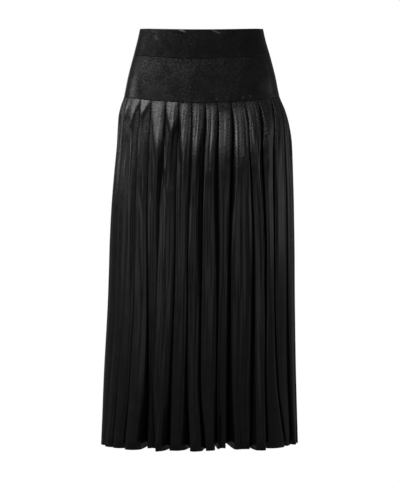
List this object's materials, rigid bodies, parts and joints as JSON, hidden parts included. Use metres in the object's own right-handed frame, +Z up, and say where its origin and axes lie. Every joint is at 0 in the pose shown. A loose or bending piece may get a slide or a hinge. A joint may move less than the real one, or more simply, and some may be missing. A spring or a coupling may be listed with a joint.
{
  "type": "pleated maxi skirt",
  "caption": "High-waisted long skirt with a wide waistband, a plain fitted hip yoke and soft knife pleats down to the hem, hollow and open as worn.",
  "frame": {"origin": "centre of the waist opening, level with the highest part of its edge at the sides, where the wearer's waist holds the skirt", "axes": "+Z up, -Y towards the front of the skirt, +X towards the wearer's left; metres"},
  "size_m": [0.4278, 0.3066, 0.9022],
  "materials": {
    "cloth": "black hammered satin with a soft broad sheen",
    "zip_tape": "plain black woven tape",
    "zip_metal": "black lacquer"
  },
  "bodies": {
    "skirt": {"waistband_front": "cloth", "waistband_back_left": "cloth", "waistband_back_right": "cloth", "hip_yoke_front": "cloth", "hip_yoke_back_left": "cloth", "hip_yoke_back_right": "cloth", "pleated_front": "cloth", "pleated_back": "cloth", "zip_tape": "zip_tape", "zip_slider": "zip_metal"},
    "pull_tab": {"zip_pull_tab": "zip_metal"}
  },
  "joints": [
    {"name": "pull_tab_swing", "type": "hinge", "parent": "skirt", "child": "pull_tab", "pos_m": [0, 0.09886, -0.0105], "axis": [1, 0, 0], "range_deg": [-2, 165]}
  ]
}
